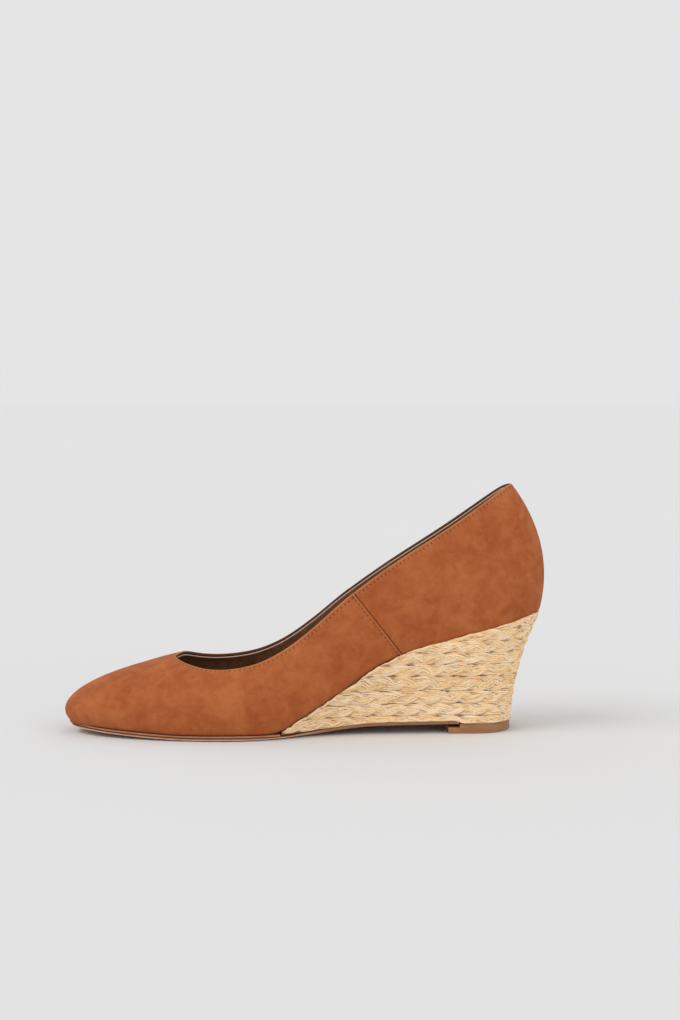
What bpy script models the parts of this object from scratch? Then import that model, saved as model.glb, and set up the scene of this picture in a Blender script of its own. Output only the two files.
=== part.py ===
"""Wedge pump, right shoe: hollow upper, insole, wrapped wedge, rand, outsole and heel top piece.

Metres, +Z up. The toe points to -X, the inner (big toe) side to -Y, the floor is z = 0.
Every surface is read from three closed loops that run round the foot: the feather edge, where
the upper turns under the foot, the edge of the sole below it, and the topline above it.
"""
from collections import namedtuple

import bmesh
import bpy
import numpy as np

# Main sizes of the shoe
LENGTH = 0.240
BALL_WIDTH = 0.073
HEEL_WIDTH = 0.0496
HEEL_HEIGHT = 0.060
VAMP_RISE = 0.0321
COUNTER_RISE = 0.0635
TOE_SPRING = 0.0029
SHANK_RISE = 0.0041

# Thicknesses and margins of the pieces
UPPER_WALL = 0.0016
SEAM_STEP = 0.0004
LASTING_MARGIN = 0.007
INSOLE_THICKNESS = 0.0018
INSOLE_MARGIN = 0.0015
RAND_THICKNESS = 0.0009
RAND_PROUD = 0.0005
OUTSOLE_THICKNESS = 0.0021
FORE_SOLE_THICKNESS = 0.0013
TOP_PIECE_THICKNESS = 0.0050
TOP_PIECE_LIP = 0.0030
TOP_PIECE_LIP_REACH = 0.0052
BRAID_PITCH = 0.00625
BRAID_DEPTH = 0.0007
BRAID_FIRST_GROOVE = 0.0092
WEDGE_INSET = 0.0003
GAP = 0.0003

# Shapes of blends, as powers and counts
BACK_SWEEP = 1.8
SIDE_SWEEP = 1.3
COLUMNS_PER_ROW = 4
END_COLUMNS = 7
WALL_ROWS = 11
TURNED_ROWS = 2
SEAM_BLEND_ROWS = 0.35
STEP_ROWS = 0.012

# Feather edge. Columns: row, along the length, inner and outer half width as shares of the width
Edge = namedtuple("Edge", "row width along inner outer")
FEATHER = (
    Edge("toe tip", BALL_WIDTH, 0.011, 0.055, -0.055),
    Edge("toe", BALL_WIDTH, 0.052, 0.246, 0.150),
    Edge("toe side", BALL_WIDTH, 0.096, 0.335, 0.246),
    Edge("vamp", BALL_WIDTH, 0.150, 0.408, 0.336),
    Edge("throat", BALL_WIDTH, 0.225, 0.479, 0.427),
    Edge("ball", BALL_WIDTH, 0.308, 0.518, 0.482),
    Edge("tread", BALL_WIDTH, 0.383, 0.512, 0.496),
    Edge("wedge tip", BALL_WIDTH, 0.448, 0.471, 0.477),
    Edge("waist", BALL_WIDTH, 0.508, 0.419, 0.438),
    Edge("arch", BALL_WIDTH, 0.567, 0.378, 0.400),
    Edge("seam", HEEL_WIDTH, 0.696, 0.494, 0.511),
    Edge("quarter", HEEL_WIDTH, 0.775, 0.490, 0.496),
    Edge("seat", HEEL_WIDTH, 0.867, 0.500, 0.494),
    Edge("heel", HEEL_WIDTH, 0.929, 0.429, 0.423),
    Edge("counter", HEEL_WIDTH, 0.971, 0.274, 0.270),
    Edge("back", HEEL_WIDTH, 0.993, 0.0, 0.0),
)

# Edge of the sole and of the wedge's foot, with the same rows and columns
SOLE = (
    Edge("toe tip", BALL_WIDTH, 0.007, 0.055, -0.055),
    Edge("toe", BALL_WIDTH, 0.050, 0.258, 0.162),
    Edge("toe side", BALL_WIDTH, 0.095, 0.349, 0.260),
    Edge("vamp", BALL_WIDTH, 0.150, 0.425, 0.349),
    Edge("throat", BALL_WIDTH, 0.225, 0.496, 0.441),
    Edge("ball", BALL_WIDTH, 0.308, 0.534, 0.499),
    Edge("tread", BALL_WIDTH, 0.383, 0.527, 0.511),
    Edge("wedge tip", BALL_WIDTH, 0.448, 0.460, 0.482),
    Edge("waist", BALL_WIDTH, 0.496, 0.380, 0.436),
    Edge("arch", BALL_WIDTH, 0.550, 0.323, 0.384),
    Edge("seam", HEEL_WIDTH, 0.658, 0.419, 0.452),
    Edge("quarter", HEEL_WIDTH, 0.733, 0.411, 0.423),
    Edge("seat", HEEL_WIDTH, 0.817, 0.409, 0.413),
    Edge("heel", HEEL_WIDTH, 0.883, 0.389, 0.389),
    Edge("counter", HEEL_WIDTH, 0.919, 0.226, 0.226),
    Edge("back", HEEL_WIDTH, 0.930, 0.0, 0.0),
)

# Topline. Its rise above the feather edge is a share of the vamp's or of the counter's rise
Top = namedtuple("Top", "row width along inner outer rise inner_rise outer_rise")
TOPLINE = (
    Top("toe tip", BALL_WIDTH, 0.229, 0.014, -0.014, VAMP_RISE, 0.985, 0.985),
    Top("toe", BALL_WIDTH, 0.235, 0.130, 0.103, VAMP_RISE, 0.998, 1.003),
    Top("toe side", BALL_WIDTH, 0.248, 0.212, 0.178, VAMP_RISE, 0.989, 1.036),
    Top("vamp", BALL_WIDTH, 0.269, 0.285, 0.247, VAMP_RISE, 0.973, 1.020),
    Top("throat", BALL_WIDTH, 0.304, 0.352, 0.315, VAMP_RISE, 0.959, 0.997),
    Top("ball", BALL_WIDTH, 0.350, 0.392, 0.363, VAMP_RISE, 0.984, 1.003),
    Top("tread", BALL_WIDTH, 0.396, 0.403, 0.384, VAMP_RISE, 1.062, 1.059),
    Top("wedge tip", BALL_WIDTH, 0.437, 0.393, 0.384, VAMP_RISE, 1.150, 1.125),
    Top("waist", BALL_WIDTH, 0.481, 0.378, 0.375, VAMP_RISE, 1.096, 1.052),
    Top("arch", BALL_WIDTH, 0.529, 0.358, 0.359, VAMP_RISE, 1.104, 1.041),
    Top("seam", HEEL_WIDTH, 0.596, 0.472, 0.476, VAMP_RISE, 0.957, 0.885),
    Top("quarter", HEEL_WIDTH, 0.683, 0.423, 0.427, COUNTER_RISE, 0.627, 0.594),
    Top("seat", HEEL_WIDTH, 0.792, 0.363, 0.365, COUNTER_RISE, 0.795, 0.773),
    Top("heel", HEEL_WIDTH, 0.869, 0.282, 0.282, COUNTER_RISE, 0.929, 0.918),
    Top("counter", HEEL_WIDTH, 0.915, 0.157, 0.157, COUNTER_RISE, 1.000, 0.998),
    Top("back", HEEL_WIDTH, 0.932, 0.0, 0.0, COUNTER_RISE, 1.0, 1.0),
)

# The wall's curve from feather edge to topline, one cubic a row. Each end leaves its loop by a
# lean (share of the way in plan to the other loop), a bow outwards and a stand upwards (shares
# of the wall's height)
Curve = namedtuple("Curve", "row lean bow stand top_lean top_bow top_stand")
WALL_CURVE = (
    Curve("toe tip", 0.00, 0.37, 0.36, 0.73, -0.02, 0.20),
    Curve("toe", 0.00, 0.335, 0.36, 0.755, 0.00, 0.19),
    Curve("toe side", 0.00, 0.278, 0.36, 0.78, 0.015, 0.175),
    Curve("vamp", 0.00, 0.23, 0.36, 0.78, 0.033, 0.165),
    Curve("throat", 0.00, 0.19, 0.35, 0.77, 0.05, 0.18),
    Curve("ball", 0.00, 0.16, 0.34, 0.80, 0.06, 0.24),
    Curve("tread", 0.05, 0.15, 0.33, 0.70, 0.09, 0.28),
    Curve("wedge tip", 0.12, 0.125, 0.33, 0.55, 0.10, 0.29),
    Curve("waist", 0.20, 0.11, 0.33, 0.45, 0.095, 0.31),
    Curve("arch", 0.28, 0.10, 0.33, 0.38, 0.09, 0.33),
    Curve("seam", 0.33, 0.08, 0.33, 0.33, 0.08, 0.33),
    Curve("quarter", 0.33, 0.09, 0.33, 0.33, 0.10, 0.33),
    Curve("seat", 0.33, 0.11, 0.33, 0.33, 0.12, 0.33),
    Curve("heel", 0.33, 0.14, 0.33, 0.33, 0.14, 0.33),
    Curve("counter", 0.33, 0.155, 0.33, 0.33, 0.165, 0.33),
    Curve("back", 0.33, 0.16, 0.33, 0.33, 0.176, 0.33),
)

# Heights along the bottom of the last. Columns: along the length, share of the named height
Height = namedtuple("Height", "along share")
SPRING_CURVE = (
    Height(0.000, 1.00), Height(0.054, 0.80), Height(0.083, 0.64), Height(0.139, 0.37),
    Height(0.185, 0.19), Height(0.223, 0.07), Height(0.262, 0.00), Height(1.000, 0.00),
)
HEEL_CURVE = (
    Height(0.000, 0.000), Height(0.400, 0.000), Height(0.430, 0.006), Height(0.448, 0.026),
    Height(0.475, 0.094), Height(0.512, 0.184), Height(0.550, 0.286), Height(0.592, 0.402),
    Height(0.629, 0.511), Height(0.662, 0.590), Height(0.708, 0.668), Height(0.758, 0.730),
    Height(0.854, 0.839), Height(0.917, 0.909), Height(0.993, 1.000), Height(1.020, 1.030),
)
SHANK_CURVE = (
    Height(0.000, 0.00), Height(0.400, 0.00), Height(0.458, 0.05), Height(0.487, 0.11),
    Height(0.520, 0.21), Height(0.548, 0.37), Height(0.590, 0.64), Height(0.621, 0.80),
    Height(0.692, 0.93), Height(0.754, 0.97), Height(0.820, 1.00), Height(1.000, 1.00),
)

# How far the outsole has grown from its thickness in the forepart to that under the wedge
SOLE_CURVE = (Height(0.000, 0.00), Height(0.450, 0.00), Height(0.540, 1.00), Height(1.000, 1.00))

ROWS = [edge.row for edge in FEATHER]
LAST_ROW = len(ROWS) - 1
KNOTS = 2 * LAST_ROW
SEAM_ROW = ROWS.index("seam")
WEDGE_ROW = ROWS.index("wedge tip")
SEAT_ROW = ROWS.index("seat")
STACK = FORE_SOLE_THICKNESS + RAND_THICKNESS + 2 * GAP


def stationed(along):
    """A share of the length as a distance from the middle, toe at the negative end."""
    return (np.asarray(along, float) - 0.5) * LENGTH


def profile(curve, height, x):
    """A smooth height curve without overshoot through the rows of a height table."""
    knots = stationed([row.along for row in curve])
    values = np.array([row.share for row in curve]) * height
    widths = np.diff(knots)
    slopes = np.diff(values) / widths
    tangents = np.zeros(len(knots))
    tangents[0], tangents[-1] = slopes[0], slopes[-1]
    for i in range(1, len(slopes)):
        if slopes[i - 1] * slopes[i] > 0:
            before = 2 * widths[i] + widths[i - 1]
            after = widths[i] + 2 * widths[i - 1]
            tangents[i] = (before + after) / (before / slopes[i - 1] + after / slopes[i])
    x = np.clip(np.asarray(x, float), knots[0], knots[-1])
    i = np.clip(np.searchsorted(knots, x, side="right") - 1, 0, len(widths) - 1)
    t = (x - knots[i]) / widths[i]
    rise = (3 - 2 * t) * t * t
    start = t * (1 - t) ** 2 * widths[i] * tangents[i]
    end = -t * t * (1 - t) * widths[i] * tangents[i + 1]
    return values[i] * (1 - rise) + values[i + 1] * rise + start + end


def ground(x):
    """Underside of the outsole: toe spring in front, flat tread, raised shank behind."""
    return profile(SPRING_CURVE, TOE_SPRING, x) + profile(SHANK_CURVE, SHANK_RISE, x)


def sole_top(x):
    """Upper face of the outsole, which is thinner in the forepart than under the wedge."""
    extra = OUTSOLE_THICKNESS - FORE_SOLE_THICKNESS
    return ground(x) + FORE_SOLE_THICKNESS + profile(SOLE_CURVE, extra, x)


def last_bottom(x):
    """Underside of the lasted upper, from the toe to the back of the heel."""
    spring = profile(SPRING_CURVE, TOE_SPRING, x)
    return STACK + spring + profile(HEEL_CURVE, HEEL_HEIGHT - STACK, x)


def raised(surface, x, distance):
    """A surface moved by a distance square to its own slope, measured as a height."""
    reach = 0.0005
    slope = (surface(x + reach) - surface(x - reach)) / (2 * reach)
    return surface(x) + distance * np.sqrt(1 + slope * slope)


def closed(inner, outer):
    """Values of one table column round the whole loop: inner side to the back, outer side home."""
    return np.concatenate([inner, outer[-2:0:-1]])


def plan(table):
    """Plan points of a loop at its rows."""
    x = stationed([row.along for row in table])
    inner = np.array([-row.inner * row.width for row in table])
    outer = np.array([row.outer * row.width for row in table])
    return np.stack([closed(x, x), closed(inner, outer)], axis=1)


def knot_places():
    """Arc length of each row round the feather edge, with the whole way round at the end."""
    points = plan(FEATHER)
    steps = np.linalg.norm(np.roll(points, -1, axis=0) - points, axis=1)
    return np.concatenate([[0.0], np.cumsum(steps)])


PLACES = knot_places()


def smooth_loop(values):
    """A closed cubic spline through one value a row, as a function of the row position."""
    values = np.asarray(values, float)
    widths = np.diff(PLACES)
    count = len(values)
    system = np.zeros((count, count))
    bends = np.zeros(count)
    for i in range(count):
        before, after = widths[i - 1], widths[i]
        system[i, i - 1] += before
        system[i, i] += 2 * (before + after)
        system[i, (i + 1) % count] += after
        ahead = (values[(i + 1) % count] - values[i]) / after
        behind = (values[i] - values[i - 1]) / before
        bends[i] = 6 * (ahead - behind)
    curvature = np.linalg.solve(system, bends)

    def at(position):
        position = np.mod(np.asarray(position, float), count)
        i = np.minimum(position.astype(int), count - 1)
        j = (i + 1) % count
        width = widths[i]
        a = (position - i) * width
        b = width - a
        bent = (curvature[i] * b ** 3 + curvature[j] * a ** 3) / (6 * width)
        start = (values[i] / width - curvature[i] * width / 6) * b
        end = (values[j] / width - curvature[j] * width / 6) * a
        return bent + start + end

    return at


def loop_in_plan(table):
    """Two splines, x and y, of a loop in plan."""
    points = plan(table)
    return smooth_loop(points[:, 0]), smooth_loop(points[:, 1])


FEATHER_LOOP = loop_in_plan(FEATHER)
SOLE_LOOP = loop_in_plan(SOLE)
TOP_LOOP = loop_in_plan(TOPLINE)
ROW_BASE = last_bottom(stationed([row.along for row in FEATHER]))
TOP_HEIGHT = smooth_loop(closed(
    ROW_BASE + np.array([row.rise * row.inner_rise for row in TOPLINE]),
    ROW_BASE + np.array([row.rise * row.outer_rise for row in TOPLINE])))
WALL_LOOPS = {
    name: smooth_loop(closed(*[np.array([getattr(row, name) for row in WALL_CURVE])] * 2))
    for name in Curve._fields[1:]}


def read_plan(loop, position):
    """Plan points of a loop at row positions."""
    return np.stack([loop[0](position), loop[1](position)], axis=-1)


def outward(loop, position):
    """Unit vectors in plan that point out of a loop."""
    reach = 0.01
    run = read_plan(loop, position + reach) - read_plan(loop, position - reach)
    run /= np.linalg.norm(run, axis=-1, keepdims=True)
    return np.stack([run[..., 1], -run[..., 0]], axis=-1)


def solid_points(flat, z):
    """Plan points with their heights."""
    return np.concatenate([flat, np.asarray(z)[..., None]], axis=-1)


def feather_points(position):
    flat = read_plan(FEATHER_LOOP, position)
    return solid_points(flat, last_bottom(flat[..., 0]))


def topline_points(position):
    return solid_points(read_plan(TOP_LOOP, position), TOP_HEIGHT(position))


def wall_points(position, share):
    """Outer face of the upper: columns at row positions, rows at shares of the way up."""
    low = feather_points(position)
    high = topline_points(position)
    out = solid_points(outward(FEATHER_LOOP, position), np.zeros(len(position)))
    height = (high[:, 2] - low[:, 2])[:, None]
    way = (high - low) * np.array([1.0, 1.0, 0.0])
    up = np.array([0.0, 0.0, 1.0])
    shape = {name: loop(position)[:, None] for name, loop in WALL_LOOPS.items()}
    first = low + shape["lean"] * way + (shape["bow"] * out + shape["stand"] * up) * height
    second = high - shape["top_lean"] * way
    second += (shape["top_bow"] * out - shape["top_stand"] * up) * height
    t = np.asarray(share)[None, :, None]
    ends = (1 - t) ** 3 * low[:, None] + t ** 3 * high[:, None]
    return ends + 3 * t * (1 - t) ** 2 * first[:, None] + 3 * t * t * (1 - t) * second[:, None]


def middle_of_shoe():
    """Plan centre of the box round the upper, which every piece is placed from."""
    points = wall_points(np.linspace(0, KNOTS, 20 * KNOTS), np.linspace(0, 1, 21))
    flat = points[..., :2].reshape(-1, 2)
    return solid_points((flat.min(axis=0) + flat.max(axis=0)) / 2, 0.0)


def seam_lift(position):
    """Extra wall where the vamp laps over the quarter, full at the seam and fading forwards."""
    side = np.minimum(position, KNOTS - position)
    before = np.clip((side - SEAM_ROW + SEAM_BLEND_ROWS) / SEAM_BLEND_ROWS, 0, 1)
    return np.where(side < SEAM_ROW, SEAM_STEP * before * before * (3 - 2 * before), 0.0)


def columns_between(start, end):
    """Row positions between two rows, closer together round the toe and the back."""
    columns = [start]
    for row in range(start, end):
        count = END_COLUMNS if row in (0, LAST_ROW - 1) else COLUMNS_PER_ROW
        columns += [row + (i + 1) / count for i in range(count)]
    return columns


def rows_before(row, distance):
    """The row position that lies a distance in front of a row of the sole's edge."""
    spacing = stationed(SOLE[row].along) - stationed(SOLE[row - 1].along)
    return row - distance / spacing


def plain_material(name, colour, roughness, metallic=0.0):
    material = bpy.data.materials.new(name)
    material.use_nodes = True
    shader = material.node_tree.nodes["Principled BSDF"]
    shader.inputs["Base Color"].default_value = (*colour, 1.0)
    shader.inputs["Roughness"].default_value = roughness
    shader.inputs["Metallic"].default_value = metallic
    material.diffuse_color = (*colour, 1.0)
    return material


def finish_object(name, mesh_data, material, collection):
    """Closes a bmesh into a named object with outward faces and smooth shading."""
    bmesh.ops.remove_doubles(mesh_data, verts=mesh_data.verts, dist=1e-6)
    bmesh.ops.recalc_face_normals(mesh_data, faces=mesh_data.faces)
    mesh = bpy.data.meshes.new(name)
    mesh_data.to_mesh(mesh)
    mesh_data.free()
    mesh.shade_smooth()
    mesh.set_sharp_from_angle(angle=np.radians(40))
    piece = bpy.data.objects.new(name, mesh)
    piece.data.materials.append(material)
    collection.objects.link(piece)
    return piece


def loft(name, rings, material, collection):
    """A closed solid through equal rings of points, from the toe end to the heel end."""
    mesh_data = bmesh.new()
    columns = [[mesh_data.verts.new(point - MIDDLE) for point in ring] for ring in rings]
    count = len(columns[0])
    for near, far in zip(columns, columns[1:]):
        for i in range(count):
            j = (i + 1) % count
            mesh_data.faces.new((near[i], near[j], far[j], far[i]))
    for ring in (columns[0], columns[-1]):
        mesh_data.faces.new(ring)
    return finish_object(name, mesh_data, material, collection)


def plate_rings(loop, grow, columns, bottom, top):
    """Rings of a thin plate: each is a section across the foot at one row position."""
    rings = []
    for row in columns:
        corners = []
        for position, levels in ((row, (bottom, top)), (KNOTS - row, (top, bottom))):
            place = np.array([position])
            flat = (read_plan(loop, place) + grow * outward(loop, place))[0]
            corners += [solid_points(flat, level(flat[0])) for level in levels]
        rings.append(corners)
    return rings


def build_upper(material, collection):
    """Hollow upper: an open skin with its margin turned under, thickened inwards."""
    inner_side = columns_between(0, LAST_ROW)
    inner_side.append(SEAM_ROW - STEP_ROWS)
    inner_side = sorted(inner_side)
    outer_side = [KNOTS - row for row in reversed(inner_side[1:-1])]
    position = np.array(inner_side + outer_side)
    wall = wall_points(position, np.linspace(0, 1, WALL_ROWS))
    lift = seam_lift(position)
    out = solid_points(outward(FEATHER_LOOP, position), np.zeros(len(position)))
    wall = wall + lift[:, None, None] * out[:, None]
    margin = read_plan(FEATHER_LOOP, position) - LASTING_MARGIN * out[:, :2]
    margin = solid_points(margin, last_bottom(margin[:, 0]))
    skin = np.concatenate([margin[:, None], wall], axis=1)
    mesh_data = bmesh.new()
    columns = [[mesh_data.verts.new(point - MIDDLE) for point in column] for column in skin]
    for near, far in zip(columns, columns[1:] + columns[:1]):
        for i in range(len(near) - 1):
            mesh_data.faces.new((near[i], far[i], far[i + 1], near[i + 1]))
    upper = finish_object("upper", mesh_data, material, collection)
    group = upper.vertex_groups.new(name="wall thickness")
    full = UPPER_WALL + SEAM_STEP
    rows = skin.shape[1]
    group.add(range(len(lift) * rows), UPPER_WALL / full, "REPLACE")
    for index, extra in enumerate(lift):
        side = range(index * rows + TURNED_ROWS, (index + 1) * rows)
        group.add(side, (UPPER_WALL + extra) / full, "REPLACE")
    wall_maker = upper.modifiers.new("wall", "SOLIDIFY")
    wall_maker.thickness = full
    wall_maker.offset = -1.0
    wall_maker.use_even_offset = True
    wall_maker.use_quality_normals = True
    wall_maker.vertex_group = group.name
    return upper


def build_insole(material, collection):
    """Sock board on the turned margin, inside the wall."""
    under = UPPER_WALL + GAP

    def bottom(x):
        return raised(last_bottom, x, under)

    def top(x):
        return raised(last_bottom, x, under + INSOLE_THICKNESS)

    inset = -(UPPER_WALL + INSOLE_MARGIN)
    rings = plate_rings(FEATHER_LOOP, inset, columns_between(0, LAST_ROW), bottom, top)
    return loft("insole", rings, material, collection)


def build_outsole(material, collection):
    """Thin sole from the toe to the heel breast, with toe spring and a raised shank."""
    columns = columns_between(0, SEAT_ROW)
    columns[-1] = rows_before(SEAT_ROW, GAP)
    rings = plate_rings(SOLE_LOOP, 0.0, columns, ground, sole_top)
    return loft("outsole", rings, material, collection)


def build_rand(material, collection):
    """Thin layer between upper and outsole that shows as a ridge round the forepart."""
    def bottom(x):
        return sole_top(x) + GAP

    def top(x):
        return bottom(x) + RAND_THICKNESS

    columns = columns_between(0, WEDGE_ROW)
    columns[-1] = rows_before(WEDGE_ROW, 2 * GAP)
    rings = plate_rings(FEATHER_LOOP, RAND_PROUD, columns, bottom, top)
    return loft("rand", rings, material, collection)


def wedge_foot(position):
    """Height of the wedge's underside: over the outsole, then lower over the top piece."""
    row = np.minimum(position, KNOTS - position)
    x = SOLE_LOOP[0](position)
    over_sole = sole_top(x) + GAP
    return np.where(row > SEAT_ROW, TOP_PIECE_THICKNESS + GAP, over_sole)


def braid_levels():
    """Heights of the braid rows' grooves and of the two shoulders between them."""
    first = BRAID_FIRST_GROOVE - BRAID_PITCH
    count = int(np.ceil((HEEL_HEIGHT - first) / BRAID_PITCH)) + 1
    levels = []
    for i in range(count):
        groove = first + i * BRAID_PITCH
        levels += [(groove, 0.0), (groove + 0.28 * BRAID_PITCH, 1.0), (groove + 0.72 * BRAID_PITCH, 1.0)]
    return levels


def wedge_side(position):
    """One upright line of the wedge's side, with the braid rows standing out of it."""
    place = np.array([position])
    low = read_plan(SOLE_LOOP, place)[0]
    out = outward(FEATHER_LOOP, place)[0]
    high = read_plan(FEATHER_LOOP, place)[0] - WEDGE_INSET * out
    foot = float(wedge_foot(place)[0])
    crown = float(raised(last_bottom, high[0], -GAP))
    points = []
    for level, ridge in [(foot, 0.0)] + braid_levels() + [(crown, 0.0)]:
        z = min(max(level, foot), crown)
        share = (z - foot) / (crown - foot)
        swept = np.array([share ** BACK_SWEEP, share ** SIDE_SWEEP])
        inside = foot < level < crown
        flat = low + (high - low) * swept + (ridge * BRAID_DEPTH * inside) * out
        points.append(solid_points(flat, z))
    return points


def build_wedge(material, collection):
    """Wedge heel wrapped in rows of braid, under the foot from the waist to the back."""
    columns = columns_between(WEDGE_ROW, LAST_ROW) + [SEAT_ROW + STEP_ROWS]
    rings = []
    for row in sorted(columns):
        inner = wedge_side(row)
        outer = wedge_side(KNOTS - row)
        rings.append(inner + outer[::-1])
    return loft("wedge", rings, material, collection)


def build_top_piece(material, collection):
    """Heel lift with a lower lip in front, under the end of the outsole."""
    front = rows_before(SEAT_ROW, TOP_PIECE_LIP_REACH)
    step = SEAT_ROW + STEP_ROWS
    columns = [front, SEAT_ROW, step] + columns_between(SEAT_ROW, LAST_ROW)[1:]
    breast = (SOLE_LOOP[0](SEAT_ROW) + SOLE_LOOP[0](step)) / 2

    def bottom(x):
        return 0.0

    def top(x):
        return TOP_PIECE_LIP if x < breast else TOP_PIECE_THICKNESS

    rings = plate_rings(SOLE_LOOP, 0.0, columns, bottom, top)
    return loft("top_piece", rings, material, collection)


def build_shoe():
    for thing in list(bpy.data.objects):
        bpy.data.objects.remove(thing, do_unlink=True)
    collection = bpy.data.collections.new("wedge pump")
    bpy.context.scene.collection.children.link(collection)
    build_upper(plain_material("tan nubuck", (0.42, 0.16, 0.06), 0.85), collection)
    build_insole(plain_material("brown lining leather", (0.13, 0.06, 0.03), 0.6), collection)
    build_wedge(plain_material("straw braid", (0.74, 0.54, 0.32), 0.6), collection)
    build_rand(plain_material("tan rand", (0.45, 0.19, 0.09), 0.6), collection)
    build_outsole(plain_material("leather sole", (0.36, 0.19, 0.11), 0.5), collection)
    build_top_piece(plain_material("brown top piece", (0.33, 0.18, 0.10), 0.6), collection)


MIDDLE = middle_of_shoe()
build_shoe()
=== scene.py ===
from collections import namedtuple

import bmesh
import bpy
import numpy as np
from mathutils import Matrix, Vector


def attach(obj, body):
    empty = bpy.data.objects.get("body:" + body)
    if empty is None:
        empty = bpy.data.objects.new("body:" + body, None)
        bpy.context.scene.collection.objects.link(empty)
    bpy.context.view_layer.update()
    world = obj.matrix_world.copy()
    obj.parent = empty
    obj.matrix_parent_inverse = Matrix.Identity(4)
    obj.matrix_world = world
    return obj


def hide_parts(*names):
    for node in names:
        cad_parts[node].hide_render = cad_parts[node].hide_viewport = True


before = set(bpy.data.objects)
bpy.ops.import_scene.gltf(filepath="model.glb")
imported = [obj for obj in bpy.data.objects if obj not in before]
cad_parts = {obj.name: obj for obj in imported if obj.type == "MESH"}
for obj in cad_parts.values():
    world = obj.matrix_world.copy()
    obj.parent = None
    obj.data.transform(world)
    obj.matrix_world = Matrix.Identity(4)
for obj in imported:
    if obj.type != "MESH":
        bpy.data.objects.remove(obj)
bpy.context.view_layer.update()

# Main sizes of the shoe
LENGTH = 0.240
BALL_WIDTH = 0.073
HEEL_WIDTH = 0.0496
HEEL_HEIGHT = 0.060
VAMP_RISE = 0.0321
COUNTER_RISE = 0.0635
TOE_SPRING = 0.0029
SHANK_RISE = 0.0041

MILLIMETRES = 1000.0

# Thicknesses and margins of the pieces
UPPER_WALL = 0.0016
SEAM_STEP = 0.0004
LASTING_MARGIN = 0.007
INSOLE_THICKNESS = 0.0018
RAND_THICKNESS = 0.0009
RAND_PROUD = 0.0005
OUTSOLE_THICKNESS = 0.0021
FORE_SOLE_THICKNESS = 0.0013
TOP_PIECE_THICKNESS = 0.0050
TOP_PIECE_LIP = 0.0030
TOP_PIECE_LIP_REACH = 0.0052
WEDGE_INSET = 0.0003
GAP = 0.0003
BACK_SWEEP = 1.8
SIDE_SWEEP = 1.3

# Feather edge. Columns: row, along the length, inner and outer half width. Both half widths are
# shares of the ball's width in front of the seam, and of the heel's width from there back
Edge = namedtuple("Edge", "row along inner outer")
FEATHER = [Edge(*row) for row in (
    ("toe tip", 0.011, 0.055, -0.055),
    ("toe", 0.052, 0.246, 0.150),
    ("toe side", 0.096, 0.335, 0.246),
    ("vamp", 0.150, 0.408, 0.336),
    ("throat", 0.225, 0.479, 0.427),
    ("ball", 0.308, 0.518, 0.482),
    ("tread", 0.383, 0.512, 0.496),
    ("wedge tip", 0.448, 0.471, 0.477),
    ("waist", 0.508, 0.419, 0.438),
    ("arch", 0.567, 0.378, 0.400),
    ("seam", 0.696, 0.494, 0.511),
    ("quarter", 0.775, 0.490, 0.496),
    ("seat", 0.867, 0.500, 0.494),
    ("heel", 0.929, 0.429, 0.423),
    ("counter", 0.971, 0.274, 0.270),
    ("back", 0.993, 0.0, 0.0),
)]

# Edge of the sole and of the wedge's foot, with the same rows and columns
SOLE = [Edge(*row) for row in (
    ("toe tip", 0.007, 0.055, -0.055),
    ("toe", 0.050, 0.258, 0.162),
    ("toe side", 0.095, 0.349, 0.260),
    ("vamp", 0.150, 0.425, 0.349),
    ("throat", 0.225, 0.496, 0.441),
    ("ball", 0.308, 0.534, 0.499),
    ("tread", 0.383, 0.527, 0.511),
    ("wedge tip", 0.448, 0.460, 0.482),
    ("waist", 0.496, 0.380, 0.436),
    ("arch", 0.550, 0.323, 0.384),
    ("seam", 0.658, 0.419, 0.452),
    ("quarter", 0.733, 0.411, 0.423),
    ("seat", 0.817, 0.409, 0.413),
    ("heel", 0.883, 0.389, 0.389),
    ("counter", 0.919, 0.226, 0.226),
    ("back", 0.930, 0.0, 0.0),
)]

# Topline. Its rise above the feather edge is a share of the vamp's rise up to the seam, and of
# the counter's rise behind it
Top = namedtuple("Top", "row along inner outer inner_rise outer_rise")
TOPLINE = [Top(*row) for row in (
    ("toe tip", 0.229, 0.014, -0.014, 0.985, 0.985),
    ("toe", 0.235, 0.130, 0.103, 0.998, 1.003),
    ("toe side", 0.248, 0.212, 0.178, 0.989, 1.036),
    ("vamp", 0.269, 0.285, 0.247, 0.973, 1.020),
    ("throat", 0.304, 0.352, 0.315, 0.959, 0.997),
    ("ball", 0.350, 0.392, 0.363, 0.984, 1.003),
    ("tread", 0.396, 0.403, 0.384, 1.062, 1.059),
    ("wedge tip", 0.437, 0.393, 0.384, 1.150, 1.125),
    ("waist", 0.481, 0.378, 0.375, 1.096, 1.052),
    ("arch", 0.529, 0.358, 0.359, 1.104, 1.041),
    ("seam", 0.596, 0.472, 0.476, 0.957, 0.885),
    ("quarter", 0.683, 0.423, 0.427, 0.627, 0.594),
    ("seat", 0.792, 0.363, 0.365, 0.795, 0.773),
    ("heel", 0.869, 0.282, 0.282, 0.929, 0.918),
    ("counter", 0.915, 0.157, 0.157, 1.000, 0.998),
    ("back", 0.932, 0.0, 0.0, 1.0, 1.0),
)]

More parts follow.
